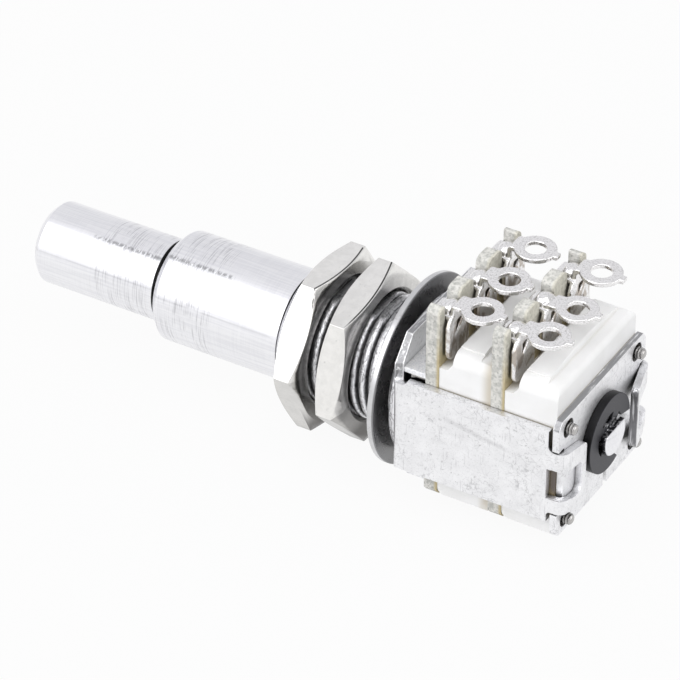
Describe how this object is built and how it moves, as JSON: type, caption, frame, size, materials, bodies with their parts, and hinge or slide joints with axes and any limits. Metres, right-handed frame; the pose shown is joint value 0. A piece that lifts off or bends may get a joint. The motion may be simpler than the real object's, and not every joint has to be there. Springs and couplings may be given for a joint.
{
  "type": "dual concentric rotary potentiometer",
  "caption": "Dual concentric panel potentiometer: a solid shaft inside a hollow one, a threaded bush with nuts and washer, stacked element units in a folded steel frame, and solder lugs.",
  "frame": {"origin": "on the shaft axis, at the front face of the steel frame, where the bush's collar seats", "axes": "+X runs along the shafts from their tips to the rear plate, +Z points to the solder lugs, +Y completes the right-handed frame"},
  "size_m": [0.0448, 0.0136, 0.0168],
  "materials": {
    "shaft_aluminium": "bare turned aluminium, with fine rings and drawn marks",
    "bush_zinc": "die cast zinc alloy, dark between the threads and bright on their crests",
    "base_zinc": "die cast zinc alloy, dull and finely grained",
    "nut_nickel": "nickel plated, slightly dull",
    "washer_steel": "nickel plated steel, with a bright rim",
    "frame_tinplate": "tin plated sheet steel, scratched and speckled",
    "board_fibre": "pale paper laminate, mottled on its cut edges",
    "lug_tin": "bright tin plate",
    "housing_nylon": "white moulded plastic, satin and slightly translucent",
    "rotor_phenolic": "brown moulded plastic",
    "wiper_bronze": "spring bronze",
    "ring_black": "blackened spring steel, grey on its flat face",
    "post_steel": "tin plated steel"
  },
  "bodies": {
    "case": {"bush": "bush_zinc", "base_block": "base_zinc", "washer": "washer_steel", "frame": "frame_tinplate", "rear_plate": "frame_tinplate", "front_board": "board_fibre", "rear_board": "board_fibre", "front_lug_1": "lug_tin", "front_lug_2": "lug_tin", "front_lug_3": "lug_tin", "rear_lug_1": "lug_tin", "rear_lug_2": "lug_tin", "rear_lug_3": "lug_tin", "front_housing": "housing_nylon", "rear_housing": "housing_nylon", "post_1": "post_steel", "post_2": "post_steel", "post_3": "post_steel", "post_4": "post_steel"},
    "outer_control": {"outer_shaft": "shaft_aluminium", "front_rotor": "rotor_phenolic", "front_wiper": "wiper_bronze"},
    "inner_control": {"inner_shaft": "shaft_aluminium", "rear_rotor": "rotor_phenolic", "rear_wiper": "wiper_bronze", "retaining_ring": "ring_black"},
    "front_nut": {"front_nut": "nut_nickel"},
    "rear_nut": {"rear_nut": "nut_nickel"}
  },
  "joints": [
    {"name": "outer_turn", "type": "hinge", "parent": "case", "child": "outer_control", "pos_m": [0, 0, 0], "axis": [1, 0, 0], "range_deg": [-150, 150]},
    {"name": "inner_turn", "type": "hinge", "parent": "case", "child": "inner_control", "pos_m": [0, 0, 0], "axis": [1, 0, 0], "range_deg": [-150, 150]},
    {"name": "front_nut_travel", "type": "slide", "parent": "case", "child": "front_nut", "axis": [-1, 0, 0], "range_m": [-0.0009, 0.0009]},
    {"name": "rear_nut_travel", "type": "slide", "parent": "case", "child": "rear_nut", "axis": [-1, 0, 0], "range_m": [-0.0025, 0.0002]}
  ]
}
